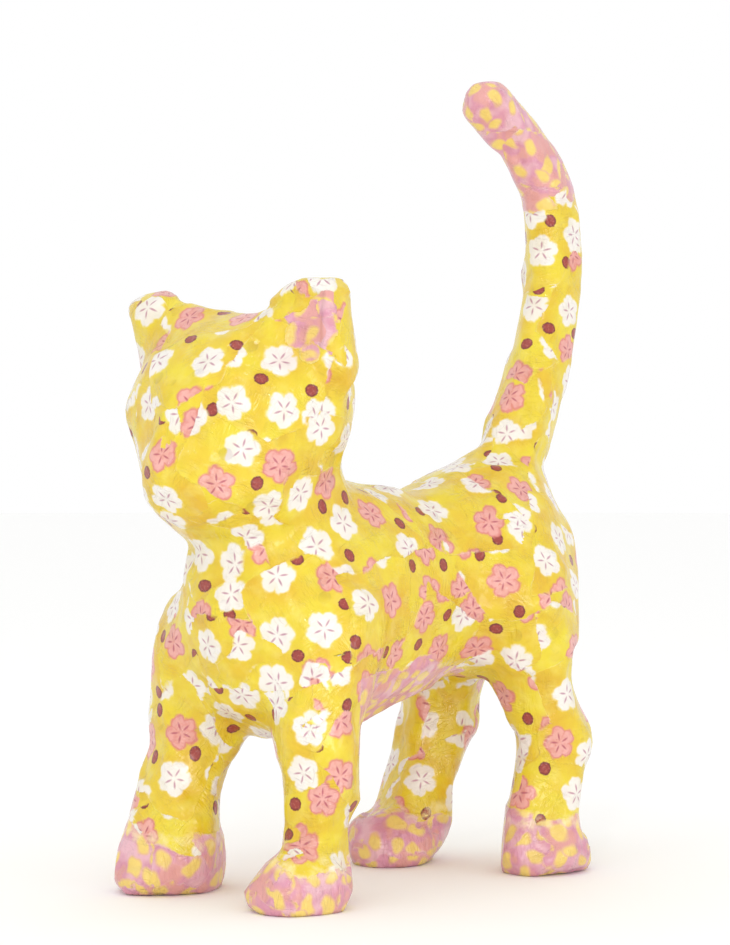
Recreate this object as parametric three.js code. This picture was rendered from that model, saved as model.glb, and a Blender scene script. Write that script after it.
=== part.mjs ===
// A papier-mache cat, walking with its tail up: body, head, ears, legs and tail are moulded as one piece.
// Millimetres, +Z up. The cat faces -Y and its left side is +X. It stands on z = 0, and the origin is on
// the ground under the middle of its bounding box.
//
// The form is a field: every part of the cat is a simple body with a signed distance (negative inside),
// neighbours are blended by a fillet of a stated size, and the zero surface is meshed at the end.
import * as THREE from "three";

// Driving dimensions. The paws are cut off flat at soleHeight, and the finished cat is set down on z = 0.
const soleHeight = 1.1;
const tailTop = 280.5;
const headHeight = 157.5; // middle of the head
const headTurn = 10; // degrees, to the cat's left
const earThickness = 15.5;
const earHollow = { radius: 14, depth: 2.5 };
const tailTipRadius = 8.7;
const soleEdge = 2; // rounding where a sole meets the side of its paw
const soleFlat = 0.7; // what is less than this above the cut is pressed flat too
const earRim = 3; // rounding of an ear's rim round its hollow
const facetSide = 5.3; // side of a facet

// Fillets between neighbours
const fillets = {
  chest: 25,
  rump: 20,
  neck: 10,
  head: 8,
  jaw: 20,
  muzzle: 12,
  nose: 8,
  ear: 10,
  tail: 11,
  leg: 12,
  paw: 8,
};

const point = (x, y, z) => new THREE.Vector3(x, y, z);

// --- Fields ---------------------------------------------------------------------------------------

// Joins two distances with a fillet of about the given radius.
function blend(a, b, fillet) {
  const share = Math.max(fillet - Math.abs(a - b), 0) / fillet;
  return Math.min(a, b) - (share * share * share * fillet) / 6;
}

// Keeps what is inside both distances, with the edge rounded.
const keepBoth = (a, b, fillet) => -blend(-a, -b, fillet);

// An ellipsoid, by its centre and half sizes.
function ellipsoid(centre, half) {
  const scaled = point(), steeper = point();
  return (p) => {
    scaled.subVectors(p, centre).divide(half);
    steeper.copy(scaled).divide(half);
    const length = scaled.length();
    return length < 1e-9 ? -Math.min(half.x, half.y, half.z) : (length * (length - 1)) / steeper.length();
  };
}

// A limb through joints, each a point with a radius. It follows a smooth curve from joint to joint.
function limb(joints, steps = 6) {
  const curve = new THREE.CatmullRomCurve3(joints.map((j) => j.at), false, "centripetal");
  const spans = joints.length - 1;
  const stations = [];
  for (let i = 0; i <= spans * steps; i++) {
    const along = i / steps;
    const from = Math.min(Math.floor(along), spans - 1);
    const swell = THREE.MathUtils.smoothstep(along - from, 0, 1);
    stations.push({
      at: curve.getPoint(i / (spans * steps)),
      radius: THREE.MathUtils.lerp(joints[from].radius, joints[from + 1].radius, swell),
    });
  }
  const segment = new THREE.Line3();
  const nearest = point();
  return (p) => {
    let best = Infinity;
    for (let i = 1; i < stations.length; i++) {
      segment.set(stations[i - 1].at, stations[i].at);
      const t = segment.closestPointToPointParameter(p, true);
      const radius = THREE.MathUtils.lerp(stations[i - 1].radius, stations[i].radius, t);
      best = Math.min(best, p.distanceTo(segment.at(t, nearest)) - radius);
    }
    return best;
  };
}

const joint = (x, y, z, radius) => ({ at: point(x, y, z), radius });

// --- The cat --------------------------------------------------------------------------------------

// The torso: a deep chest over the front legs, a waist, and haunches that rise to the tail.
const chest = ellipsoid(point(0, -28.3, 93.8), point(33.4, 39.3, 42));
const belly = ellipsoid(point(0, -0.3, 98.7), point(31, 52.7, 38.6));
const rump = ellipsoid(point(0, 55.7, 105.8), point(35, 39.7, 38));
const neck = limb([joint(0, -33.5, 108, 29), joint(0, -39, 140, 26.2)]);

// The head, in a frame of its own: its middle is the origin and it looks along -Y.
const headFrame = new THREE.Matrix4()
  .makeRotationZ(THREE.MathUtils.degToRad(headTurn))
  .setPosition(0, -49, headHeight)
  .invert();
const skull = ellipsoid(point(-0.5, -0.5, 4.6), point(39, 34.5, 30.8));
const jaw = ellipsoid(point(0, -7.2, -16.2), point(29, 25.7, 26));
const muzzle = ellipsoid(point(0, -27, -18), point(16, 13, 13));
const nose = limb([joint(0, -29, 8, 7), joint(0, -36, -12, 5)]);

// An ear is a flap with a blunt tip, turned outwards, and a shallow hollow in the side that faces forward.
function ear(side, { outerTip, innerTip, innerFoot, outerFoot }) {
  const flap = new THREE.Triangle(outerTip, innerFoot, outerFoot);
  const bluntTip = new THREE.Triangle(outerTip, innerTip, innerFoot);
  const forward = flap.getNormal(point()).multiplyScalar(-side);
  const reach = earThickness / 2 + earHollow.radius - earHollow.depth;
  const hollowAt = flap.getMidpoint(point()).addScaledVector(forward, reach);
  const nearest = point();
  const away = (p, triangle) => p.distanceTo(triangle.closestPointToPoint(p, nearest));
  return (p) => {
    const solid = Math.min(away(p, flap), away(p, bluntTip)) - earThickness / 2;
    return keepBoth(solid, earHollow.radius - p.distanceTo(hollowAt), earRim);
  };
}
const ears = [
  ear(1, {
    outerTip: point(37.7, -4.2, 38.6),
    innerTip: point(33, -5.5, 39),
    innerFoot: point(15.4, -8, 27),
    outerFoot: point(36.7, 2, 16),
  }),
  ear(-1, {
    outerTip: point(-36.8, -4.5, 36.3),
    innerTip: point(-34, -5, 36.4),
    innerFoot: point(-9, -8, 27),
    outerFoot: point(-37, 2, 16),
  }),
];

function head(p) {
  let whole = blend(skull(p), jaw(p), fillets.jaw);
  whole = blend(whole, muzzle(p), fillets.muzzle);
  whole = blend(whole, nose(p), fillets.nose);
  for (const oneEar of ears) whole = blend(whole, oneEar(p), fillets.ear);
  return whole;
}

const tail = limb([
  joint(0, 65, 126, 20.5),
  joint(0, 75, 146, 12.9),
  joint(0, 87, 175, 11.7),
  joint(0, 94, 200, 10.7),
  joint(0, 96, 225, 10.5),
  joint(0, 92, 244.5, 10.3),
  joint(0, 78.6, 260.3, 8.9),
  joint(0, 63.3, tailTop - tailTipRadius, tailTipRadius),
]);

// Each leg runs from inside the torso to its paw. The cat is in mid-stride, so no two stand alike.
const legs = {
  leftFront: {
    limb: limb([
      joint(22, -32.5, 92, 19),
      joint(26.3, -40.5, 58, 15),
      joint(27.9, -39, 42, 12.5),
      joint(26.4, -40.8, 20, 10),
    ]),
    paw: ellipsoid(point(25.7, -46.9, 8), point(15.7, 18.1, 14)),
  },
  rightFront: {
    limb: limb([
      joint(-22, -41.3, 84, 21.6),
      joint(-28, -44.7, 60, 17.3),
      joint(-28.8, -47.7, 48, 14.4),
      joint(-30, -51.7, 34, 14),
      joint(-30.5, -54.4, 16, 16.5),
    ]),
    paw: ellipsoid(point(-31.2, -55.3, 8), point(15.6, 19.9, 14)),
  },
  leftHind: {
    limb: limb([
      joint(21, 56, 96, 20.9),
      joint(25, 63.8, 62, 13.2),
      joint(26.3, 68.6, 48, 13.7),
      joint(26.1, 67, 37, 12.4),
      joint(26, 64, 20, 12.5),
    ]),
    paw: ellipsoid(point(26, 65.5, 8), point(15, 17.5, 14)),
  },
  rightHind: {
    limb: limb([
      joint(-20, 60.5, 92, 20.2),
      joint(-23.5, 62.3, 56, 15),
      joint(-24, 55.7, 36, 13.2),
      joint(-24, 49.6, 18, 13.7),
    ]),
    paw: ellipsoid(point(-24, 39.4, 8), point(16, 17.7, 13)),
  },
};

function cat(p) {
  let whole = blend(chest(p), belly(p), fillets.chest);
  whole = blend(whole, rump(p), fillets.rump);
  whole = blend(whole, neck(p), fillets.neck);
  whole = blend(whole, head(p.clone().applyMatrix4(headFrame)), fillets.head);
  whole = blend(whole, tail(p), fillets.tail);
  for (const leg of Object.values(legs)) {
    whole = blend(whole, blend(leg.limb(p), leg.paw(p), fillets.paw), fillets.leg);
  }
  return keepBoth(whole, soleHeight - p.z, soleEdge);
}

// --- Meshing --------------------------------------------------------------------------------------

// Meshes the zero surface of a field inside a box: one vertex in every cell that the surface crosses,
// and a four-sided face around every cell edge that crosses it.
function surfaceOf(field, box, size) {
  const cells = box.getSize(point()).divideScalar(size).ceil();
  const [nx, ny, nz] = [cells.x + 1, cells.y + 1, cells.z + 1];
  const corner = (i, j, k) => i + nx * (j + ny * k);
  const place = (i, j, k) => point(i, j, k).multiplyScalar(size).add(box.min);

  const values = new Float64Array(nx * ny * nz);
  for (let k = 0; k < nz; k++)
    for (let j = 0; j < ny; j++)
      for (let i = 0; i < nx; i++) values[corner(i, j, k)] = field(place(i, j, k));

  const steps = [[1, 0, 0], [0, 1, 0], [0, 0, 1]];
  const vertices = [];
  const vertexOf = new Map();
  for (let k = 0; k < nz - 1; k++)
    for (let j = 0; j < ny - 1; j++)
      for (let i = 0; i < nx - 1; i++) {
        const sum = point();
        let crossings = 0;
        for (const [axis, [di, dj, dk]] of steps.entries())
          for (let side = 0; side < 4; side++) {
            const offset = [0, 0, 0];
            offset[(axis + 1) % 3] = side & 1;
            offset[(axis + 2) % 3] = side >> 1;
            const [ci, cj, ck] = [i + offset[0], j + offset[1], k + offset[2]];
            const a = values[corner(ci, cj, ck)];
            const b = values[corner(ci + di, cj + dj, ck + dk)];
            if (a < 0 === b < 0) continue;
            const t = a / (a - b);
            sum.add(place(ci + di * t, cj + dj * t, ck + dk * t));
            crossings++;
          }
        if (!crossings) continue;
        vertexOf.set(corner(i, j, k), vertices.length);
        vertices.push(sum.divideScalar(crossings));
      }

  const quads = [];
  for (let k = 1; k < nz - 1; k++)
    for (let j = 1; j < ny - 1; j++)
      for (let i = 1; i < nx - 1; i++)
        for (const [axis, [di, dj, dk]] of steps.entries()) {
          const a = values[corner(i, j, k)];
          const b = values[corner(i + di, j + dj, k + dk)];
          if (a < 0 === b < 0) continue;
          const u = steps[(axis + 1) % 3], v = steps[(axis + 2) % 3];
          const around = [[0, 0], [1, 0], [1, 1], [0, 1]].map(([su, sv]) => {
            const [ci, cj, ck] = [i, j, k].map((n, at) => n - u[at] * su - v[at] * sv);
            return vertexOf.get(corner(ci, cj, ck));
          });
          quads.push(a < 0 ? around : around.reverse());
        }
  return { vertices, quads };
}

// Moves a point along the field's slope on to the zero surface.
function drop(p, field) {
  const reach = 0.01;
  const slope = point(), probe = point();
  for (let pass = 0; pass < 4; pass++) {
    const value = field(p);
    for (const axis of ["x", "y", "z"]) {
      probe.copy(p)[axis] += reach;
      slope[axis] = (field(probe) - value) / reach;
    }
    p.addScaledVector(slope, -value / slope.lengthSq());
  }
}

// Evens out the faces: each vertex goes towards the middle of its neighbours, then back to the surface.
function settle({ vertices, quads }, field, passes = 4) {
  for (let pass = 0; pass < passes; pass++) {
    const sums = vertices.map(() => point());
    const counts = new Uint16Array(vertices.length);
    for (const quad of quads)
      quad.forEach((v, n) => {
        sums[v].add(vertices[quad[(n + 1) % 4]]);
        counts[v]++;
      });
    vertices.forEach((v, n) => {
      v.lerp(sums[n].divideScalar(counts[n]), 0.6);
      drop(v, field);
    });
  }
}

function geometryOf({ vertices, quads }) {
  const index = [];
  for (const [a, b, c, d] of quads) {
    const shortAC = vertices[a].distanceTo(vertices[c]) < vertices[b].distanceTo(vertices[d]);
    index.push(...(shortAC ? [a, b, c, a, c, d] : [b, c, d, b, d, a]));
  }
  const geometry = new THREE.BufferGeometry().setFromPoints(vertices);
  geometry.setIndex(index);
  return geometry;
}

// --- The part -------------------------------------------------------------------------------------

const room = new THREE.Box3(
  point(-58, -105, soleHeight - 1.5 * facetSide),
  point(60, 120, tailTop + 2 * facetSide),
);
const skin = surfaceOf(cat, room, facetSide);
settle(skin, cat);
for (const vertex of skin.vertices) if (vertex.z < soleHeight + soleFlat) vertex.z = soleHeight;
const geometry = geometryOf(skin);
geometry.computeBoundingBox();
const middle = geometry.boundingBox.getCenter(point());
geometry.translate(-middle.x, -middle.y, -soleHeight);
geometry.computeVertexNormals();

const varnishedPaper = new THREE.MeshStandardMaterial({ color: 0xf0d63a, roughness: 0.35, metalness: 0 });
const body = new THREE.Mesh(geometry, varnishedPaper);
body.name = "cat";

const part = new THREE.Group();
part.add(body);
export default part;
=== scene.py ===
import bmesh
import bpy
import math
import random

import numpy as np
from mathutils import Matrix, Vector, noise


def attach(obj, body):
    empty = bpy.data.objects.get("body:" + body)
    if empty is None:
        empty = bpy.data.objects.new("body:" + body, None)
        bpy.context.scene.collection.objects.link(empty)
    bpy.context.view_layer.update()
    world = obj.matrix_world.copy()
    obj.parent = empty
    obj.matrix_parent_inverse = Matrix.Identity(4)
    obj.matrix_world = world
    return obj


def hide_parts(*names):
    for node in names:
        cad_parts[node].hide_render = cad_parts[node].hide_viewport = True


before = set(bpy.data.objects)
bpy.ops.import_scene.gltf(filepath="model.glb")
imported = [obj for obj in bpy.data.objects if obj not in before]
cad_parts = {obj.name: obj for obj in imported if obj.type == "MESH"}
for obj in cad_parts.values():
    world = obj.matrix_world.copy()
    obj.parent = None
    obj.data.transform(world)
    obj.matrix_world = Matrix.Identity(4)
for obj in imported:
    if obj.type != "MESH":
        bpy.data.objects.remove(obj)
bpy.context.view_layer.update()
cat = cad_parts["cat"]
millimetre = 0.001
farOutside = -99.0  # mm, for what lies nowhere near


def linearColour(hexColour):
    # sRGB hex to the linear values that light is mixed in
    channels = [int(hexColour[i:i + 2], 16) / 255 for i in (1, 3, 5)]
    return [c / 12.92 if c <= 0.04045 else ((c + 0.055) / 1.055) ** 2.4 for c in channels] + [1.0]


def addNode(tree, kind, inputs=(), **settings):
    # inputs: nodes, sockets or plain values, as a list in the node's own order or as {socket name: value}
    node = tree.nodes.new(kind)
    for name, value in settings.items():
        setattr(node, name, value)
    shown = [socket for socket in node.inputs if socket.enabled]
    for key, source in inputs.items() if isinstance(inputs, dict) else enumerate(inputs):
        target = shown[key] if isinstance(key, int) else node.inputs[key]
        if isinstance(source, bpy.types.Node):
            source = next(socket for socket in source.outputs if socket.enabled)
        if isinstance(source, bpy.types.NodeSocket):
            tree.links.new(source, target)
        else:
            target.default_value = source
    return node


def unit(vectors):
    return vectors / np.maximum(np.linalg.norm(vectors, axis=-1, keepdims=True), 1e-9)


def finishedMesh(piece):
    # bakes the modifiers into the mesh
    bpy.context.view_layer.update()
    seen = piece.evaluated_get(bpy.context.evaluated_depsgraph_get())
    mesh = bpy.data.meshes.new_from_object(seen)
    piece.modifiers.clear()
    piece.data = mesh


# The shell of pressed pulp: the solid with its facets rounded off and the unevenness of hand work.
shell = {
    "sameFace": 1.2,  # radians that two triangles of one face may differ by
    "rounding": 2,  # subdivision levels
    "drawnOut": 3,  # times that the cage is drawn out to the solid's corners
    "growth": -0.3,  # mm that the whole skin stands out of the solid
    "lumps": [(46, 0.5), (17, 0.3), (7, 0.12)],  # (width, height) in mm
    # where the wet paper puckered, in mm, but for how narrow its ridges are and how common its patches
    "creases": {"width": 5, "height": 0.16, "narrow": 2.5, "patch": 38, "common": 0.4, "patchEdge": 2},
    # stiff paper bridges curves with flat planes, in mm, but for seed and flatness
    "planes": {"seed": 5, "apart": 18, "edge": 5, "flatness": 0.7, "most": 0.9},
    "soleBand": 1.2,  # mm above the ground that are squashed by soleSquash
    "soleSquash": 0.6,
    "flatPress": 0.9,  # how much of what stands beyond a flat is pressed in
    "flatFade": 5 / 3,  # times its reach, where a flat has faded out
    # pressed flat by hand: where, which way it faces, how far round it and how deep in mm
    "flats": [
        ((1.3, 48.4, 272), (-0.5, -0.86, 0.1), 12, 0.9),  # end of the tail
        ((1.3, 58.4, 278), (-0.1, -0.05, 0.99), 12, 1.5),  # top of the tail's end
        ((1.3, 76.4, 262), (0.2, 0.6, 0.78), 16, 0.8),  # back of the tail's bend
        ((38.8, -55.6, 195), (0.1, -0.1, 0.99), 12, 0.9),  # top of the left ear
        ((44.8, -53.6, 190), (0.75, 0.2, 0.63), 10, 1.1),  # outer corner of the left ear
        ((-29.2, -65.6, 192), (-0.1, 0, 0.99), 12, 0.5),  # top of the right ear
        ((36.5, -44.6, 12), (0.67, 0.74, 0.1), 14, 1.7),  # heel of the left front paw
        ((36.5, -45, 3), (0.6, 0.67, -0.43), 9, 2),  # under its heel
        ((16.5, -66.5, 13.5), (-0.5, -0.56, 0.66), 9, 3.9),  # its instep
        ((21.4, -56.6, 30), (-0.67, -0.74, 0), 11, 1.1),  # its shin
        ((18, -69, 1), (-0.24, -0.3, -0.92), 9, 1.4),  # under its toes
        ((17.3, 45.7, 16), (-0.67, -0.74, 0.1), 12, 1.3),  # front of the left hind paw
        ((38.4, 69.2, 8), (0.67, 0.74, 0.1), 10, 1.1),  # its heel
        ((-43.2, -77.1, 9), (-0.67, -0.74, 0.1), 12, 0.9),  # outside of the right front paw
        ((-11.5, 48.3, 13), (0.67, 0.74, 0), 12, 1.4),  # heel of the right hind paw
    ],
}


def vertexPlaces(mesh):
    places = np.empty(len(mesh.vertices) * 3)
    mesh.vertices.foreach_get("co", places)
    return places.reshape(-1, 3)


def meshArrays(mesh):
    # places in millimetres, normals, and the four corners of each face
    normals = np.empty(len(mesh.vertices) * 3, np.float32)
    mesh.vertex_normals.foreach_get("vector", normals)
    corners = np.empty(len(mesh.loops), np.int64)
    mesh.loops.foreach_get("vertex_index", corners)
    return vertexPlaces(mesh) / millimetre, normals.reshape(-1, 3).astype(float), corners.reshape(-1, 4)


def makeShell():
    piece = bpy.data.objects.new("papierMacheCat", cat.data.copy())
    bpy.context.scene.collection.objects.link(piece)
    piece.data.materials.clear()
    form = bmesh.new()
    form.from_mesh(piece.data)
    bmesh.ops.remove_doubles(form, verts=form.verts, dist=1e-6)
    bmesh.ops.join_triangles(form, faces=form.faces, angle_face_threshold=shell["sameFace"],
                             angle_shape_threshold=shell["sameFace"])
    form.to_mesh(piece.data)
    form.free()
    rounding = piece.modifiers.new("rounding", "SUBSURF")
    rounding.levels = shell["rounding"]
    rounding.render_levels = shell["rounding"]
    # the rounded skin passes through the solid's own corners, where it would else shrink
    corners = vertexPlaces(piece.data)
    cage = corners.copy()
    for _ in range(shell["drawnOut"]):
        bpy.context.view_layer.update()
        rounded = piece.evaluated_get(bpy.context.evaluated_depsgraph_get())
        cage += corners - vertexPlaces(rounded.data)[:len(corners)]
        piece.data.vertices.foreach_set("co", cage.ravel())
        piece.data.update()
    finishedMesh(piece)
    return piece


def lumpAt(place):
    # how far hand-pressed pulp and puckered paper stand out here, in mm, each from its own part of the noise
    rise = 0
    for number, (width, height) in enumerate(shell["lumps"]):
        rise += height * noise.noise(place / width + Vector((7.3 * number, 1.9, 4.4)))
    creases = shell["creases"]
    ridge = 1 - creases["narrow"] * abs(noise.noise(place / creases["width"]))
    patch = noise.noise(place / creases["patch"] + Vector((3, 8, 1)))
    patch = min(max(creases["common"] + creases["patchEdge"] * patch, 0), 1)
    return rise + creases["height"] * max(ridge, 0) * patch


def planeShift(places, normals):
    # how far each vertex moves towards the nearest of many flat planes, in mm
    planes = shell["planes"]
    dice = random.Random(planes["seed"])
    order = list(range(len(places)))
    dice.shuffle(order)
    centres = np.empty((0, 3))
    weights = np.full(len(places), 1e-9)
    shift = np.zeros(len(places))
    for vertex in order:
        if len(centres) and np.min(((centres - places[vertex]) ** 2).sum(1)) < planes["apart"] ** 2:
            continue
        centres = np.vstack([centres, places[vertex]])
        way = places[vertex] - places
        facing = np.clip(normals @ normals[vertex], 0, 1) ** 2
        weight = facing * np.exp(-(way ** 2).sum(1) / (2 * planes["edge"] ** 2))
        weights += weight
        shift += weight * (way @ normals[vertex])
    shift = planes["flatness"] * shift / weights
    shift -= shift.mean()
    return planes["most"] * np.tanh(shift / planes["most"])


def pressFlats(places):
    # pushes in what stands beyond a plane set a little under the surface
    for middle, facing, reach, depth in shell["flats"]:
        facing = unit(np.array(facing))
        away = np.linalg.norm(places - middle, axis=1)
        height = places @ facing
        beyond = np.maximum(height - height[away < reach].max() + depth, 0)
        press = shell["flatPress"] * np.interp(away, (reach, reach * shell["flatFade"]), (1, 0))
        places -= (press * beyond)[:, None] * facing
    return places


def pressShape(mesh, pile):
    # moves the surface by the pulp's lumps, the flats and the piled scraps, with the soles kept flat
    places, normals, _ = meshArrays(mesh)
    rise = shell["growth"] + np.array([lumpAt(Vector(place)) for place in places])
    rise += planeShift(places, normals) + scraps["thickness"] * (pile - pile.mean())
    places += normals * rise[:, None]
    places[places[:, 2] < shell["soleBand"], 2] *= shell["soleSquash"]
    places = pressFlats(places)
    places[:, 2] = np.maximum(places[:, 2], 0)
    mesh.vertices.foreach_set("co", (places * millimetre).ravel())
    mesh.update()


# The torn scraps of tissue paper, laid one over another until nothing is bare.
papers = ("flowered", "leafed")
scraps = {
    "seed": 11,
    "halfWidth": {"flowered": (16, 22), "leafed": (13, 17)},  # mm
    "spacing": {"flowered": 23, "leafed": 15},  # mm between scraps laid first
    "unrolled": 1.5,  # half widths round its middle that a scrap can reach
    "sides": (4, 6),
    "sideTurn": 0.22,  # share of a side that its direction strays by
    "sideWidth": (0.78, 1.12),  # of the half width, from the middle to a side
    "wander": 0.9,  # mm that a torn side strays
    "waves": 3,  # that it strays in
    "waveTurn": (0, 6.3),  # radians, which way each wave runs and where it starts
    "wavePace": (0.25, 0.6),  # radians a mm
    "fibres": 0.5,  # mm of loose fibres at a torn side, drawn by the material
    "overlap": (-0.5, 3.5),  # mm that a scrap may cross from one paper's ground into the other's
    "thickness": 0.07,  # mm, of tissue and glue
    "stretch": (0.5, 1.6),  # the least and most that a scrap may be squeezed or drawn where it lies
    "seamRoom": 0.5,  # mm that it stays clear of where it would be squeezed or drawn more
    "layers": 4,  # kept for the material: a few part layers and the one under them
}
# where the leafed paper goes, in mm in the part's own frame
leafedGround = {
    # the middle of each paw, how high its sock reaches there and how it falls with x
    "socks": [
        (27, -55, 18.6, 0.41),  # left front
        (-30, -62.5, 20.3, 0.17),  # right front
        (27, 56.5, 19.8, 0.05),  # left hind
        (-23, 35.5, 19.2, 0.05),  # right hind
    ],
    "tailTip": {"height": 239.5, "slope": 0.45, "middle": 85},  # its rim's height where y is the middle
    # (y, height) along its upper rim, and the lowest that it goes, above the legs' own paper
    "belly": {"rim": [(-40, 72), (-14, 74.3), (6, 76.3), (18, 74.5), (31, 70)], "lowest": 48},
    "earSpots": [  # (x, y, z, radius) on the front of the left ear, in the head's frame
        (32, -11.5, 27.5, 4.6), (37.5, -9.8, 28.5, 5.2), (41.5, -9.5, 35, 3.6), (36, -9.5, 21.5, 3.6),
    ],
    "earFront": -0.2,  # the most that a normal on the ear's front points back
    "headPlace": (1.3, -57.1, 156.4),  # of the head's frame
    "headTurn": 10,  # degrees
    "uneven": (11, 3),  # (width, height) of the ragged rim
    "earUneven": 0.5,  # share of that round the ear's patch
}


def unevenness(places):
    width, height = leafedGround["uneven"]
    return np.array([height * noise.noise(Vector(place) / width) for place in places])


def sockDepth(places):
    # how far below the rim of the nearest paw's sock each vertex is, in mm
    x, y, z = places.T
    paws = np.array(leafedGround["socks"])
    nearest = np.argmin(np.hypot(x[:, None] - paws[:, 0], y[:, None] - paws[:, 1]), axis=1)
    return paws[nearest, 2] - paws[nearest, 3] * (x - paws[nearest, 0]) - z


def earDepth(places, normals):
    # how far inside the leafed patch on the left ear each vertex is, in mm, negative outside
    turn = math.radians(leafedGround["headTurn"])
    depth = np.full(len(places), farOutside)
    for x, y, z, radius in leafedGround["earSpots"]:
        turned = (x * math.cos(turn) - y * math.sin(turn), x * math.sin(turn) + y * math.cos(turn), z)
        spot = radius - np.linalg.norm(places - np.array(leafedGround["headPlace"]) - turned, axis=1)
        spot[normals[:, 1] > leafedGround["earFront"]] = farOutside
        depth = np.maximum(depth, spot)
    return depth + leafedGround["earUneven"] * unevenness(places)


def leafedDepth(places, ear):
    # how far inside the leafed paper's ground each vertex is, in mm, negative outside
    y, z = places[:, 1], places[:, 2]
    tip, belly = leafedGround["tailTip"], leafedGround["belly"]
    along, heights = zip(*belly["rim"])
    strip = np.min([np.interp(y, along, heights) - z, y - along[0], along[-1] - y], axis=0)
    strip[z < belly["lowest"]] = farOutside
    tail = z - tip["height"] - tip["slope"] * (y - tip["middle"])
    tail[y < 0] = farOutside
    ragged = np.max([sockDepth(places), tail, strip], axis=0) + unevenness(places)
    return np.maximum(ragged, ear)


def neighbourTable(corners, count):
    # the vertices that share a face with each vertex, padded with -1
    pairs = np.concatenate([corners[:, (i, j)] for i in range(4) for j in range(4) if i != j])
    codes = np.unique(pairs[:, 0] * count + pairs[:, 1])
    owner, other = codes // count, codes % count
    starts = np.searchsorted(owner, np.arange(count))
    table = np.full((count, np.bincount(owner).max()), -1)
    table[owner, np.arange(len(owner)) - starts[owner]] = other
    return table


def unroll(start, reach, turn, places, normals, table):
    # lays the surface round a vertex flat, ring by ring, as a sheet of paper wraps it
    known = np.zeros(len(places), bool)
    flat = np.zeros((len(places), 2))
    east = np.zeros((len(places), 3))
    askew = (0.31, 0.52, 0.79)  # any direction that isn't the normal's own
    side = unit(np.cross(normals[start], askew))
    east[start] = side * math.cos(turn) + np.cross(normals[start], side) * math.sin(turn)
    known[start] = True
    rim = np.array([start])
    while len(rim):
        ring = np.unique(table[rim])
        ring = ring[(ring >= 0) & ~known[ring]]
        if not len(ring):
            break
        near = table[ring]
        step = places[ring][:, None] - places[near]
        up = normals[ring][:, None]
        carried = unit(east[near] - (east[near] * up).sum(2, keepdims=True) * up)
        middle = unit(carried + east[near])
        north = np.cross(unit(normals[near] + up), middle)
        move = np.stack([(step * middle).sum(2), (step * north).sum(2)], axis=2)
        length = np.linalg.norm(step, axis=2)
        move = unit(move) * length[..., None]
        weight = ((near >= 0) & known[near]) / np.maximum(length, 1e-6)
        weight = (weight / weight.sum(1, keepdims=True))[..., None]
        flat[ring] = ((flat[near] + move) * weight).sum(1)
        east[ring] = unit((carried * weight).sum(1))
        known[ring] = True
        rim = ring[np.hypot(*flat[ring].T) < reach]
    return known, flat


def tornSides(dice, paper):
    # an irregular scrap: a few torn sides round a middle, each (direction, distance), and waves in them
    half = dice.uniform(*scraps["halfWidth"][paper])
    count = dice.randint(*scraps["sides"])
    stray, (least, most) = scraps["sideTurn"], scraps["sideWidth"]
    sides = [(2 * math.pi * (i + dice.uniform(-stray, stray)) / count, half * dice.uniform(least, most))
             for i in range(count)]
    turn, pace = scraps["waveTurn"], scraps["wavePace"]
    waves = [(dice.uniform(*turn), dice.uniform(*pace), dice.uniform(*turn)) for _ in range(scraps["waves"])]
    return half, sides, waves


def insideBy(flat, sides, waves):
    # how far inside the scrap's outline each flattened point is, in mm
    u, v = flat.T
    depth = np.full(len(u), -farOutside)
    for angle, distance in sides:
        depth = np.minimum(depth, distance - u * math.cos(angle) - v * math.sin(angle))
    for angle, pace, phase in waves:
        depth += scraps["wander"] / 2 * np.sin((u * math.cos(angle) + v * math.sin(angle)) * pace + phase)
    return depth


def clearOfSeam(known, flat, places, corners):
    # how far each known vertex is from where the flattened surface meets itself or stretches, in mm
    faces = corners[known[corners].all(1)]
    ends = np.roll(faces, 1, axis=1)
    length = np.linalg.norm(places[faces] - places[ends], axis=2)
    shortest = 0.05  # mm, so that a tiny edge doesn't count as a seam
    ratio = np.linalg.norm(flat[faces] - flat[ends], axis=2) / np.maximum(length, shortest)
    low, high = scraps["stretch"]
    bad = np.unique(faces[(ratio.max(1) > high) | (ratio.min(1) < low)])
    clear = np.full(len(places), -farOutside)
    if len(bad):
        own = np.flatnonzero(known)
        for part in np.array_split(own, 1 + len(own) // 200):  # a few at a time, to spare memory
            away = ((places[part][:, None] - places[bad]) ** 2).sum(2)
            clear[part] = np.sqrt(away.min(1)) - scraps["seamRoom"]
    return clear


def spreadStarts(dice, places, ground, ear):
    # an even scatter of starting points, of which the last are laid on top: those of the ear's patch
    starts = []
    order = list(range(len(places)))
    dice.shuffle(order)
    taken = {name: np.empty((0, 3)) for name in papers}
    for vertex in order:
        paper = papers[int(ground[vertex] > 0)]
        others = taken[paper]
        if len(others) and np.min(((others - places[vertex]) ** 2).sum(1)) < scraps["spacing"][paper] ** 2:
            continue
        taken[paper] = np.vstack([others, places[vertex]])
        starts.append(vertex)
    dice.shuffle(starts)
    return sorted(starts, key=lambda vertex: ear[vertex] > 0)


def layScrap(dice, start, ground, places, normals, corners, table):
    # one scrap round a vertex: what it may reach, where that lies on it, and how far inside its sides, in mm
    leafed = int(ground[start] > 0)
    half, sides, waves = tornSides(dice, papers[leafed])
    reach = half * scraps["unrolled"]
    known, flat = unroll(start, reach, dice.uniform(0, 2 * math.pi), places, normals, table)
    depth = np.full(len(places), farOutside)
    depth[known] = insideBy(flat[known], sides, waves)
    crossing = dice.uniform(*scraps["overlap"])
    depth = np.minimum(depth, (ground if leafed else -ground) + crossing)
    close = known & (depth > -3)  # the scrap and a few mm round it, where a seam would matter
    return leafed, known, flat, np.minimum(depth, clearOfSeam(close, flat, places, corners))


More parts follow.
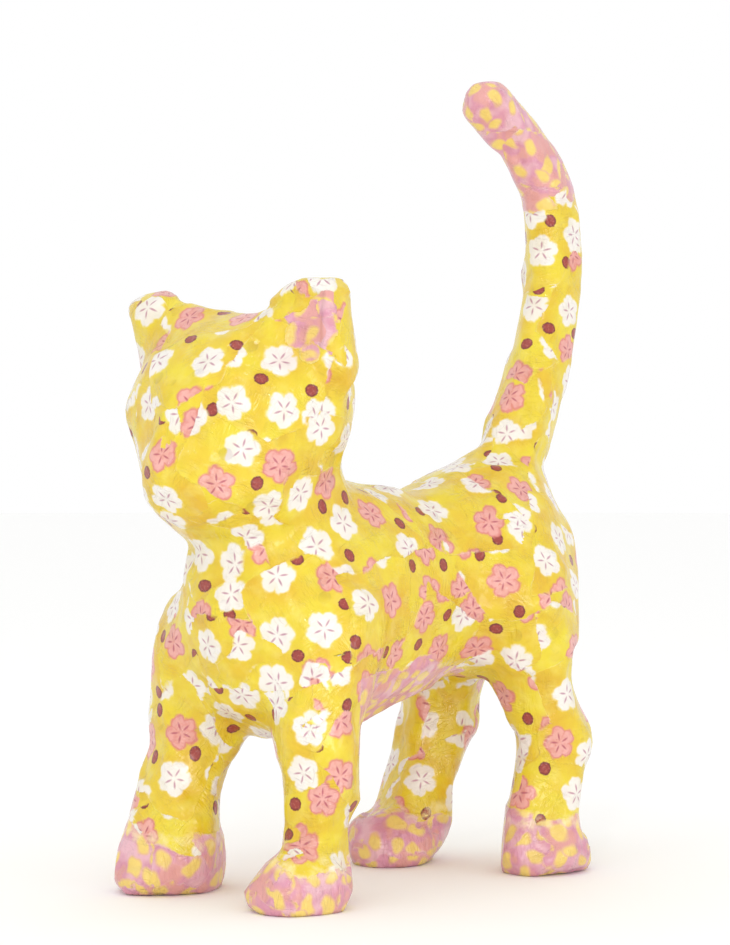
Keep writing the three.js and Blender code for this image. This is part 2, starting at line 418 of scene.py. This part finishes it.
def keepForMaterial(mesh, flats, tears):
    for layer, (flat, tear) in enumerate(zip(flats, tears)):
        paper = mesh.attributes.new(f"scrap{layer}", "FLOAT_VECTOR", "CORNER")
        paper.data.foreach_set("vector", flat.astype(np.float32).ravel())
        torn = mesh.attributes.new(f"torn{layer}", "FLOAT", "CORNER")
        torn.data.foreach_set("value", tear.astype(np.float32).ravel())


def layScraps(mesh):
    # Lays scraps from the last one glued down to the first. Each face keeps, top first, the scraps that
    # cross it down to the second one that covers it whole.
    places, normals, corners = meshArrays(mesh)
    table = neighbourTable(corners, len(places))
    ear = earDepth(places, normals)
    ground = leafedDepth(places, ear)
    dice = random.Random(scraps["seed"])
    layers, fibres = scraps["layers"], scraps["fibres"]
    flats = np.zeros((layers, len(corners), 4, 3))
    tears = np.zeros((layers, len(corners), 4))
    used = np.zeros(len(corners), int)
    whole = np.zeros(len(corners), int)
    pile = np.zeros(len(places))
    rim = mesh.attributes.new("sockRim", "FLOAT", "POINT")
    rim.data.foreach_set("value", (sockDepth(places) + unevenness(places)).astype(np.float32))
    starts = spreadStarts(dice, places, ground, ear)
    number = 0
    while True:
        if starts:
            start = starts.pop()
        else:
            bare = np.flatnonzero((whole < 2) & (used < layers))
            if not len(bare):
                break
            start = corners[dice.choice(bare)][0]
        leafed, known, flat, depth = layScrap(dice, start, ground, places, normals, corners, table)
        pile += np.clip(depth, 0, 1)
        tear = depth[corners]
        unfinished = (used < layers) & (whole < 2)
        faces = np.flatnonzero((tear.max(1) > -fibres) & unfinished & known[corners].all(1))
        flats[used[faces], faces, :, :2] = flat[corners[faces]]
        flats[used[faces], faces, :, 2] = 2 * number + leafed
        tears[used[faces], faces] = tear[faces]
        used[faces] += 1
        whole[faces] += tear[faces].min(1) > fibres
        number += 1
    for layer in range(1, layers):  # a face with fewer scraps repeats its lowest
        short = used <= layer
        flats[layer, short] = flats[layer - 1, short]
        tears[layer, short] = tears[layer - 1, short]
    keepForMaterial(mesh, flats, tears)
    bareShare = np.mean((used == layers) & (whole < 1))
    print(f"scraps: {number} laid, {np.mean(used):.2f} kept a face, {bareShare:.4f} short")
    return pile


# The printed tissue paper: blossoms and dots on yellow, and leaves on mauve. Sizes are in mm.
pattern = {
    "sheet": 400,  # side of the sheets that the scraps are torn from
    "blossomSpacing": 17.2, "blossomStray": 0.32,  # how far apart, and the share of that by which they stray
    "petals": 5,
    # of each petal and each stamen: how far out its middle is, half its length and half its width
    "petal": (3.25, 2.6, 2.6), "stamen": (2.2, 1.25, 0.34),
    "heart": 2.4,  # radius that the petals fill in the middle
    "wobble": (2.5, 0.75),  # width and height of the waves in a blossom's outline
    "pinkShare": 0.36,  # of the blossoms
    "dotRadius": 2.35, "dotSquash": 1.14, "dotWobble": (0.7692, 0.6),
    "dotShare": 0.52,  # of the places between blossoms
    "leafSpacing": 11.8, "leafStray": 0.35,
    "leaf": (2.15, 3.4),  # half its width and half its length
    "leafSizes": (0.74, 1.2),  # smallest and largest, times that
    "leafSlant": 1.4,  # radians to either side
    "leafBend": (6.25, 3),  # width of the noise that bends it, and how far
    "leafShifts": [(0, 0, 0), (4.7, 6.11, 0)],  # two scatters, so that some leaves meet
    # how far outside a shape its ink is full and how far it reaches, for leaves as a share of their size
    "edges": {
        "dotHeart": (-0.6, 0), "dot": (0.1, 0.5), "petalHeart": (-0.85, -0.1), "petal": (-0.3, 0.4),
        "halo": (0.1, 0.8), "stamen": (-0.2, 0.18), "leafRim": (-0.05, 0.26), "leaf": (-0.3, 0.06),
    },
    # uneven ink: width, detail and roughness of its noise, where in that it starts and is full, least, most
    "inking": {
        "cloud": (16.667, 3, 0.5, 0.35, 0.7, 0, 0.75),
        "haze": (6.25, 6, 0.5, 0.5, 0.75, 0, 0.36),
        "worn": (0.9091, 4, 0.5, 0.52, 0.72, 0, 0.5),
        "mottled": (2, 3, 0.5, 0.45, 0.68, 0, 0.4),
        "lavender": (11.111, 2, 0.5, 0.5, 0.64, 0, 1),
    },
    "rose": (11.111, 0.38, 0.5),  # width of its noise, where it is full and where it ends
    "deepLots": 0.3, "deepPinks": 0.25,  # how much deeper some scraps and some pink blossoms are printed
    "whiteHalo": 0.55, "pinkHalo": 0.35,  # strength of the blur round a blossom
}
inks = {name: linearColour(colour) for name, colour in {
    "ground": "#E2D028", "groundDeep": "#DBB11C", "groundPale": "#E9DA6E",
    "white": "#EAE5DD", "cream": "#EBDE9C", "salmon": "#E6AAA1", "coral": "#D47E75",
    "stamenPale": "#BE93A0", "stamenRed": "#B55F6A",
    "dot": "#97342B", "dotRim": "#742019", "dotWorn": "#BC6A58",
    "mauve": "#D391A6", "rose": "#DB9C97", "lavender": "#E0B0BA", "leaf": "#E9CC6E", "leafRim": "#E0B48C",
}.items()}


def patches(tree, place, kinds, **settings):
    # soft-edged patches of noise over a place in mm, by name
    found = {}
    for name, (width, detail, roughness, low, high, least, most) in kinds.items():
        cloud = addNode(tree, "ShaderNodeTexNoise", {
            "Vector": place, "Scale": 1 / width, "Detail": detail, "Roughness": roughness}, **settings)
        found[name] = addNode(tree, "ShaderNodeMapRange", [cloud, low, high, least, most])
    return found


def printedWithin(tree, distances):
    # for each named distance outside a shape, 1 where its ink is full, falling smoothly to 0
    return {name: addNode(tree, "ShaderNodeMapRange", [distance, *pattern["edges"][name], 1, 0],
                          interpolation_type="SMOOTHSTEP") for name, distance in distances.items()}


def coated(tree, colour, coats):
    # lays coats over a colour one after another, each (how much of it there is, its colour)
    for share, coat in coats:
        colour = addNode(tree, "ShaderNodeMix", [share, colour, coat], data_type="RGBA")
    return colour


def blossomGroup():
    # five-petalled blossoms over the sheet: mm outside the petals and the stamens, and a chance for each
    tree = bpy.data.node_groups.new("blossoms", "ShaderNodeTree")
    tree.interface.new_socket("Sheet", in_out="INPUT", socket_type="NodeSocketVector")
    for name in ("Outside", "Stamen", "Chance"):
        tree.interface.new_socket(name, in_out="OUTPUT", socket_type="NodeSocketFloat")
    sheet = addNode(tree, "NodeGroupInput").outputs["Sheet"]
    cells = addNode(tree, "ShaderNodeTexVoronoi", {
        "Vector": sheet, "Scale": 1 / pattern["blossomSpacing"], "Randomness": pattern["blossomStray"]},
        voronoi_dimensions="2D")
    chances = addNode(tree, "ShaderNodeSeparateXYZ", [cells.outputs["Color"]])
    local = addNode(tree, "ShaderNodeVectorMath", [sheet, cells.outputs["Position"]], operation="SUBTRACT")
    spin = addNode(tree, "ShaderNodeMath", [chances.outputs["X"], 2 * math.pi], operation="MULTIPLY")
    local = addNode(tree, "ShaderNodeVectorRotate", {"Vector": local, "Angle": spin}, rotation_type="Z_AXIS")
    # all petals are folded onto one
    petalTurn = 2 * math.pi / pattern["petals"]
    axes = addNode(tree, "ShaderNodeSeparateXYZ", [local])
    radius = addNode(tree, "ShaderNodeVectorMath", [local], operation="LENGTH")
    angle = addNode(tree, "ShaderNodeMath", [axes.outputs["Y"], axes.outputs["X"]], operation="ARCTAN2")
    sector = addNode(tree, "ShaderNodeMath", [angle, petalTurn], operation="DIVIDE")
    sector = addNode(tree, "ShaderNodeMath", [sector, 0.5], operation="ADD")
    sector = addNode(tree, "ShaderNodeMath", [sector], operation="FRACT")
    sector = addNode(tree, "ShaderNodeMath", [sector, 0.5], operation="SUBTRACT")
    folded = addNode(tree, "ShaderNodeMath", [sector, petalTurn], operation="MULTIPLY")
    cosine = addNode(tree, "ShaderNodeMath", [folded], operation="COSINE")
    sine = addNode(tree, "ShaderNodeMath", [folded], operation="SINE")
    outwards = addNode(tree, "ShaderNodeMath", [radius, cosine], operation="MULTIPLY")
    across = addNode(tree, "ShaderNodeMath", [radius, sine], operation="MULTIPLY")
    spot = addNode(tree, "ShaderNodeCombineXYZ", [outwards, across])
    shapes = {}
    for shape in ("petal", "stamen"):
        middle, length, width = pattern[shape]
        shifted = addNode(tree, "ShaderNodeVectorMath", [spot, (middle, 0, 0)], operation="SUBTRACT")
        scaled = addNode(tree, "ShaderNodeVectorMath", [shifted, (length, width, 1)], operation="DIVIDE")
        size = addNode(tree, "ShaderNodeVectorMath", [scaled], operation="LENGTH")
        outside = addNode(tree, "ShaderNodeMath", [size, 1], operation="SUBTRACT")
        shapes[shape] = addNode(tree, "ShaderNodeMath", [outside, width], operation="MULTIPLY")
    heart = addNode(tree, "ShaderNodeMath", [radius, pattern["heart"]], operation="SUBTRACT")
    petals = addNode(tree, "ShaderNodeMath", [shapes["petal"], heart], operation="MINIMUM")
    width, height = pattern["wobble"]
    wobble = addNode(tree, "ShaderNodeTexNoise", {"Vector": sheet, "Scale": 1 / width, "Detail": 1},
                     noise_dimensions="2D")
    wobble = addNode(tree, "ShaderNodeMapRange", [wobble, 0, 1, -height, height])
    petals = addNode(tree, "ShaderNodeMath", [petals, wobble], operation="ADD")
    addNode(tree, "NodeGroupOutput", [petals, shapes["stamen"], chances.outputs["Y"]])
    return tree


def dotShapes(tree, sheet):
    # dots between the blossoms: mm outside each, and 1 where the dot is printed at all
    half = pattern["blossomSpacing"] / 2
    shifted = addNode(tree, "ShaderNodeVectorMath", [sheet, (half, half, 0)], operation="ADD")
    cells = addNode(tree, "ShaderNodeTexVoronoi", {
        "Vector": shifted, "Scale": 1 / pattern["blossomSpacing"], "Randomness": pattern["blossomStray"]},
        voronoi_dimensions="2D")
    chances = addNode(tree, "ShaderNodeSeparateXYZ", [cells.outputs["Color"]])
    kept = addNode(tree, "ShaderNodeMath", [chances, pattern["dotShare"]], operation="LESS_THAN")
    local = addNode(tree, "ShaderNodeVectorMath", [shifted, cells.outputs["Position"]], operation="SUBTRACT")
    squash = (1, pattern["dotSquash"], 1)
    local = addNode(tree, "ShaderNodeVectorMath", [local, squash], operation="MULTIPLY")
    size = addNode(tree, "ShaderNodeVectorMath", [local], operation="LENGTH")
    outside = addNode(tree, "ShaderNodeMath", [size, pattern["dotRadius"]], operation="SUBTRACT")
    width, height = pattern["dotWobble"]
    wobble = addNode(tree, "ShaderNodeTexNoise", {"Vector": sheet, "Scale": 1 / width, "Detail": 2},
                     noise_dimensions="2D")
    outside = addNode(tree, "ShaderNodeMath", [wobble, height, outside], operation="MULTIPLY_ADD")
    return outside, kept


def printFlowers(tree, sheet, lot, inking):
    # the flowered paper: clouded yellow, dots, and white and pink blossoms with a blur of ink round them
    dots, dotKept = dotShapes(tree, sheet)
    petals, stamens, chance = addNode(tree, "ShaderNodeGroup", [sheet], node_tree=blossomGroup()).outputs
    ink = printedWithin(tree, {"dotHeart": dots, "dot": dots, "petalHeart": petals, "petal": petals,
                               "halo": petals, "stamen": stamens})
    cloud = addNode(tree, "ShaderNodeMath", [lot, pattern["deepLots"], inking["cloud"]],
                    operation="MULTIPLY_ADD")
    dotInk = addNode(tree, "ShaderNodeMath", [ink["dot"], dotKept], operation="MULTIPLY")
    firstPink = 1 - pattern["pinkShare"]
    pink = addNode(tree, "ShaderNodeMath", [chance, firstPink], operation="GREATER_THAN")
    deep = addNode(tree, "ShaderNodeMapRange", [chance, firstPink, 1, 0, pattern["deepPinks"]])
    deep = addNode(tree, "ShaderNodeMath", [deep, inking["mottled"]], operation="ADD")
    halo = addNode(tree, "ShaderNodeMapRange", [pink, 0, 1, pattern["whiteHalo"], pattern["pinkHalo"]])
    halo = addNode(tree, "ShaderNodeMath", [ink["halo"], halo], operation="MULTIPLY")
    dotColour = coated(tree, inks["dotRim"], [(ink["dotHeart"], inks["dot"])])
    dotColour = coated(tree, dotColour, [(inking["worn"], inks["dotWorn"])])
    pinkHeart = coated(tree, inks["salmon"], [(deep, inks["coral"])])
    pinkColour = coated(tree, inks["coral"], [(ink["petalHeart"], pinkHeart)])
    return coated(tree, inks["ground"], [
        (cloud, inks["groundDeep"]),
        (inking["haze"], inks["groundPale"]),
        (dotInk, dotColour),
        (halo, coated(tree, inks["cream"], [(pink, inks["coral"])])),
        (ink["petal"], coated(tree, inks["white"], [(pink, pinkColour)])),
        (ink["stamen"], coated(tree, inks["stamenPale"], [(pink, inks["stamenRed"])])),
    ])


def printLeaves(tree, sheet, inking):
    # the leafed paper: mottled mauve under two scatters of plain leaves
    width, full, none = pattern["rose"]
    rose = addNode(tree, "ShaderNodeTexNoise", {"Vector": sheet, "Scale": 1 / width, "Detail": 2},
                   noise_dimensions="2D")
    rose = addNode(tree, "ShaderNodeMapRange", [rose, full, none, 1, 0], interpolation_type="SMOOTHSTEP")
    colour = coated(tree, inks["mauve"], [(rose, inks["rose"]), (inking["lavender"], inks["lavender"])])
    width, bent = pattern["leafBend"]
    bend = addNode(tree, "ShaderNodeTexNoise", {"Vector": sheet, "Scale": 1 / width, "Detail": 1},
                   noise_dimensions="2D")
    middle = (0.5, 0.5, 0.5)  # of the noise
    bend = addNode(tree, "ShaderNodeVectorMath", [bend.outputs["Color"], middle], operation="SUBTRACT")
    for shift in pattern["leafShifts"]:
        place = addNode(tree, "ShaderNodeVectorMath", [sheet, shift], operation="ADD")
        cells = addNode(tree, "ShaderNodeTexVoronoi", {
            "Vector": place, "Scale": 1 / pattern["leafSpacing"], "Randomness": pattern["leafStray"]},
            voronoi_dimensions="2D")
        chances = addNode(tree, "ShaderNodeSeparateXYZ", [cells.outputs["Color"]])
        local = addNode(tree, "ShaderNodeVectorMath", [place, cells.outputs["Position"]],
                        operation="SUBTRACT")
        most = pattern["leafSlant"]
        slant = addNode(tree, "ShaderNodeMapRange", [chances, 0, 1, -most, most])
        local = addNode(tree, "ShaderNodeVectorRotate", {"Vector": local, "Angle": slant},
                        rotation_type="Z_AXIS")
        local = addNode(tree, "ShaderNodeVectorMath", [bend, (bent, bent, 0), local],
                        operation="MULTIPLY_ADD")
        shape = addNode(tree, "ShaderNodeVectorMath", [local, (*pattern["leaf"], 1)], operation="DIVIDE")
        shape = addNode(tree, "ShaderNodeVectorMath", [shape], operation="LENGTH")
        size = addNode(tree, "ShaderNodeMapRange", [chances.outputs["Y"], 0, 1, *pattern["leafSizes"]])
        outside = addNode(tree, "ShaderNodeMath", [shape, size], operation="SUBTRACT")
        ink = printedWithin(tree, {"leafRim": outside, "leaf": outside})
        colour = coated(tree, colour, [(ink[name], inks[name]) for name in ("leafRim", "leaf")])
    return colour


def paperGroup():
    # what is printed at a point of a scrap: (u, v) on the scrap in mm and the scrap's number, odd if leafed
    tree = bpy.data.node_groups.new("printedTissue", "ShaderNodeTree")
    tree.interface.new_socket("Scrap", in_out="INPUT", socket_type="NodeSocketVector")
    tree.interface.new_socket("Colour", in_out="OUTPUT", socket_type="NodeSocketColor")
    scrap = addNode(tree, "ShaderNodeSeparateXYZ", [addNode(tree, "NodeGroupInput")])
    number = addNode(tree, "ShaderNodeMath", [scrap.outputs["Z"]], operation="ROUND")
    lots = addNode(tree, "ShaderNodeTexWhiteNoise", {"W": number}, noise_dimensions="1D").outputs["Color"]
    lot = addNode(tree, "ShaderNodeSeparateXYZ", [lots])
    flat = addNode(tree, "ShaderNodeCombineXYZ", [scrap.outputs["X"], scrap.outputs["Y"]])
    turn = addNode(tree, "ShaderNodeMath", [lot.outputs["X"], 2 * math.pi], operation="MULTIPLY")
    flat = addNode(tree, "ShaderNodeVectorRotate", {"Vector": flat, "Angle": turn}, rotation_type="Z_AXIS")
    side = pattern["sheet"]
    away = addNode(tree, "ShaderNodeVectorMath", [lots, (side, side, 0)], operation="MULTIPLY")
    sheet = addNode(tree, "ShaderNodeVectorMath", [flat, away], operation="ADD")
    inking = patches(tree, sheet, pattern["inking"], noise_dimensions="2D")
    flowered = printFlowers(tree, sheet, lot.outputs["Z"], inking)
    isLeafed = addNode(tree, "ShaderNodeMath", [number, 2], operation="MODULO")
    addNode(tree, "NodeGroupOutput", [coated(tree, flowered, [(isLeafed, printLeaves(tree, sheet, inking))])])
    return tree


# The glue and the clear varnish, with the small relief under it. Widths and heights are in mm.
varnish = {
    "tornFibre": (1.818, 4, 0.65, 0.2, 0.8),  # width, detail and roughness of its noise, lowest and highest
    # width, detail and roughness of its noise, where in the noise it starts and is full, least, most
    "overScrap": {
        "soaked": (8.333, 2, 0.5, 0.42, 0.68, 0.05, 0.3),  # how much the scrap below darkens this one
        "thinned": (6.667, 2, 0.5, 0.4, 0.65, 0.15, 1.6),  # how far in from its torn side it is thin
        "milky": (4, 4, 0.6, 0.42, 0.62, 0, 1),
        "fibrous": (6.25, 2, 0.5, 0.5, 0.7, 0, 1),
        "creased": (10, 1, 0.5, 0.42, 0.6, 0, 1),
        "puckered": (11.765, 2, 0.5, 0.45, 0.62, 0, 0.6),
    },
    "overCat": {
        "drawnIn": (22.222, 1, 0.5, 0.38, 0.52, 0, 1),
        "brushed": (11.111, 3, 0.5, 0.3, 0.7, 0.34, 0.52),  # the roughness that the brush left
    },
    "ghost": 0.55,  # how much of its colour the scrap below keeps
    "milk": ("#EFE0A8", 0.5, 3.5, 0.6),  # glue dried pale: colour, from and to how far off the rim, strength
    "fibre": ("#F6EEC6", 0, 0.6, 0.34),  # the same for pale fibres at a torn side
    "tornStep": (0.25, 0.07, 5),  # width and height of a torn side, and how far in the scrap is flat again
    # which way it is stretched, width, detail and distortion of its noise
    "crease": ((1, 0.3, 1), 2, 3, 0.6),
    "pucker": ((0.3, 1.2, 1), 1.6667, 2, 0.5),
    "crinkle": ((1, 1, 0.28), 2.381, 2, 0.4),  # upright, where the tissue was drawn in round the paws
    "grain": ((1, 1, 1), 1.111, 3, 0),
    "dent": ((1, 1, 1), 6.25, 2, 0),
    "creaseWidth": 0.09, "creaseHeight": 0.12,  # width is a share of the noise
    "crinkleHeight": 1.1, "crinkleRise": 4,  # height, and how far below the rim it is full
    "grainHeight": 0.035, "dentHeight": 0.3,
}


def scrapsHere(tree):
    # Which scrap is on top here, which is next below, and how far inside its torn side the top one is.
    # The lowest is always there, and each one above it hides it within its own torn sides.
    width, detail, roughness, low, high = varnish["tornFibre"]
    top = under = depth = None
    for layer in reversed(range(scraps["layers"])):
        spot = addNode(tree, "ShaderNodeAttribute", attribute_name=f"scrap{layer}").outputs["Vector"]
        torn = addNode(tree, "ShaderNodeAttribute", attribute_name=f"torn{layer}").outputs["Fac"]
        fibre = addNode(tree, "ShaderNodeTexNoise", {
            "Vector": spot, "Scale": 1 / width, "Detail": detail, "Roughness": roughness})
        fibre = addNode(tree, "ShaderNodeMapRange", [fibre, low, high, -scraps["fibres"], scraps["fibres"]])
        inside = addNode(tree, "ShaderNodeMath", [torn, fibre], operation="ADD")
        if top is None:
            top, under, depth = spot, spot, inside
            continue
        shown = addNode(tree, "ShaderNodeMath", [inside, 0], operation="GREATER_THAN")
        under = addNode(tree, "ShaderNodeMix", [shown, under, top], data_type="VECTOR")
        top = addNode(tree, "ShaderNodeMix", [shown, top, spot], data_type="VECTOR")
        depth = addNode(tree, "ShaderNodeMix", [shown, depth, inside], data_type="FLOAT")
    return top, under, depth


def gluedColour(tree, top, under, depth, rim, patch):
    # the top scrap's print, with the scrap below showing where glue soaked it and where a side tore thin
    paper = paperGroup()
    topPrint = addNode(tree, "ShaderNodeGroup", [top], node_tree=paper)
    underPrint = addNode(tree, "ShaderNodeGroup", [under], node_tree=paper)
    ghost = addNode(tree, "ShaderNodeHueSaturation", {"Saturation": varnish["ghost"], "Color": underPrint})
    soaked = addNode(tree, "ShaderNodeMix", [patch["soaked"], topPrint, ghost], data_type="RGBA",
                     blend_type="MULTIPLY")
    thick = addNode(tree, "ShaderNodeMapRange", [depth, 0, patch["thinned"], 0, 1],
                    interpolation_type="SMOOTHSTEP")
    coats = [(thick, soaked)]
    away = addNode(tree, "ShaderNodeMath", [rim], operation="ABSOLUTE")
    for name, distance, where in (("milk", away, "milky"), ("fibre", depth, "fibrous")):
        colour, near, far, strength = varnish[name]
        share = addNode(tree, "ShaderNodeMapRange", [distance, near, far, strength, 0],
                        interpolation_type="SMOOTHSTEP")
        share = addNode(tree, "ShaderNodeMath", [share, patch[where]], operation="MULTIPLY")
        coats.append((share, linearColour(colour)))
    return coated(tree, underPrint, coats)


def gluedRelief(tree, top, place, depth, rim, patch):
    # relief in mm: torn sides standing on the scrap below, creases, puckers, and the paper's own grain
    width, height, flat = varnish["tornStep"]
    step = addNode(tree, "ShaderNodeMapRange", [depth, 0, width, 0, height])
    settled = addNode(tree, "ShaderNodeMapRange", [depth, width, flat, 1, 0])
    relief = addNode(tree, "ShaderNodeMath", [step, settled], operation="MULTIPLY")
    grounds = {"crease": top, "pucker": top, "crinkle": place, "grain": place, "dent": place}
    waves = {}
    for name, ground in grounds.items():
        stretch, size, detail, distortion = varnish[name]
        stretched = addNode(tree, "ShaderNodeVectorMath", [ground, stretch], operation="MULTIPLY")
        waves[name] = addNode(tree, "ShaderNodeTexNoise", {
            "Vector": stretched, "Scale": 1 / size, "Detail": detail, "Distortion": distortion})
    # a crease is a narrow ridge along the middle value of its noise
    off = addNode(tree, "ShaderNodeMath", [waves["crease"], 0.5], operation="SUBTRACT")
    off = addNode(tree, "ShaderNodeMath", [off], operation="ABSOLUTE")
    ridge = addNode(tree, "ShaderNodeMapRange", [off, 0, varnish["creaseWidth"], varnish["creaseHeight"], 0],
                    interpolation_type="SMOOTHSTEP")
    drawnIn = addNode(tree, "ShaderNodeMapRange", [
        rim, 0, varnish["crinkleRise"], 0, varnish["crinkleHeight"]])
    drawnIn = addNode(tree, "ShaderNodeMath", [drawnIn, patch["drawnIn"]], operation="MULTIPLY")
    for wave, height in ((ridge, patch["creased"]), (waves["pucker"], patch["puckered"]),
                         (waves["crinkle"], drawnIn), (waves["grain"], varnish["grainHeight"]),
                         (waves["dent"], varnish["dentHeight"])):
        relief = addNode(tree, "ShaderNodeMath", [wave, height, relief], operation="MULTIPLY_ADD")
    return relief


def varnishedTissue():
    # Printed tissue paper glued in torn scraps over pulp and brushed with a clear acrylic varnish: matt inks,
    # torn sides that thin out, ghosts of the scrap below, and a soft uneven gloss over small creases.
    material = bpy.data.materials.new("varnishedTissuePaper")
    material.use_nodes = True
    tree = material.node_tree
    tree.nodes.clear()
    top, under, depth = scrapsHere(tree)
    rim = addNode(tree, "ShaderNodeAttribute", attribute_name="sockRim").outputs["Fac"]
    inMetres = addNode(tree, "ShaderNodeTexCoord").outputs["Object"]
    place = addNode(tree, "ShaderNodeVectorMath", [inMetres, (millimetre,) * 3], operation="DIVIDE")
    patch = patches(tree, top, varnish["overScrap"]) | patches(tree, place, varnish["overCat"])
    relief = gluedRelief(tree, top, place, depth, rim, patch)
    bump = addNode(tree, "ShaderNodeBump", {"Height": relief, "Distance": millimetre, "Strength": 1})
    surface = addNode(tree, "ShaderNodeBsdfPrincipled", {
        "Base Color": gluedColour(tree, top, under, depth, rim, patch),
        "Roughness": patch["brushed"], "Specular IOR Level": 0.35, "Normal": bump,
        "Coat Weight": 0.6, "Coat Roughness": 0.08, "Coat Normal": bump})
    addNode(tree, "ShaderNodeOutputMaterial", [surface])
    return material


# The studio: a pale board in a white room, lamps before and beside the cat, and the camera at its height.
studio = {
    "cameraPlace": (0.6373, -0.5765, 0.1439),  # metres
    "azimuth": 48,  # degrees that the camera stands round to the cat's left
    "tilt": 0.286,  # degrees down
    "lens": 95.4,  # mm
    "floorRadius": 6,  # metres
    "floorColour": "#FDFDFC",
    "roomLight": 1.0,
    "lights": {  # (place, where it aims, size, watts), in metres
        "keySoftbox": ((0.1, -1.3, 1.1), (0, 0, 0.13), 0.7, 1.2),
        "fillSoftbox": ((0.85, -0.62, 0.07), (0, 0, 0.05), 0.4, 2.5),
        "sideSoftbox": ((1.2, 0.0, 0.15), (0, 0.03, 0.03), 0.35, 1.2),
        "glintLamp": ((0.9, -1.1, 1.0), (0, 0, 0.13), 0.06, 1.1),
        "skylight": ((0.3, -0.4, 1.35), (0, 0, 0.13), 0.12, 0.45),
    },
}


def makeFloor():
    form = bmesh.new()
    bmesh.ops.create_circle(form, cap_ends=True, segments=96, radius=studio["floorRadius"])
    mesh = bpy.data.meshes.new("studioFloor")
    form.to_mesh(mesh)
    form.free()
    floor = bpy.data.objects.new("studioFloor", mesh)
    bpy.context.scene.collection.objects.link(floor)
    material = bpy.data.materials.new("paintedStudioBoard")
    material.use_nodes = True
    board = material.node_tree.nodes["Principled BSDF"]
    board.inputs["Base Color"].default_value = linearColour(studio["floorColour"])
    board.inputs["Roughness"].default_value = 0.9
    mesh.materials.append(material)


def lightStudio():
    world = bpy.data.worlds.new("whiteRoom")
    world.use_nodes = True
    room = world.node_tree.nodes["Background"]
    room.inputs["Color"].default_value = (1, 1, 1, 1)
    room.inputs["Strength"].default_value = studio["roomLight"]
    bpy.context.scene.world = world
    for name, (place, aim, size, power) in studio["lights"].items():
        lamp = bpy.data.lights.new(name, "AREA")
        lamp.size = size
        lamp.energy = power
        holder = bpy.data.objects.new(name, lamp)
        holder.location = place
        holder.rotation_euler = (Vector(aim) - Vector(place)).to_track_quat("-Z", "Y").to_euler()
        bpy.context.scene.collection.objects.link(holder)
    bpy.context.scene.view_settings.view_transform = "Standard"


def placeCamera():
    lens = bpy.data.cameras.new("studioCamera")
    lens.lens = studio["lens"]
    lens.sensor_width = 36
    lens.clip_start = 0.05
    lens.clip_end = 50
    camera = bpy.data.objects.new("studioCamera", lens)
    camera.location = studio["cameraPlace"]
    azimuth, tilt = math.radians(studio["azimuth"]), math.radians(studio["tilt"])
    sight = Vector((-math.sin(azimuth) * math.cos(tilt), math.cos(azimuth) * math.cos(tilt), -math.sin(tilt)))
    camera.rotation_euler = sight.to_track_quat("-Z", "Y").to_euler()
    bpy.context.scene.collection.objects.link(camera)
    bpy.context.scene.camera = camera


placeCamera()
makeFloor()
lightStudio()
print("studio: camera, floor and lights placed")
shellPiece = makeShell()
print(f"shell: {len(shellPiece.data.vertices)} vertices after rounding")
pressShape(shellPiece.data, layScraps(shellPiece.data))
shellPiece.data.shade_smooth()
shellPiece.data.materials.append(varnishedTissue())
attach(shellPiece, "root")
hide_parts("cat")
print("shell: pressed, covered with paper and varnished")
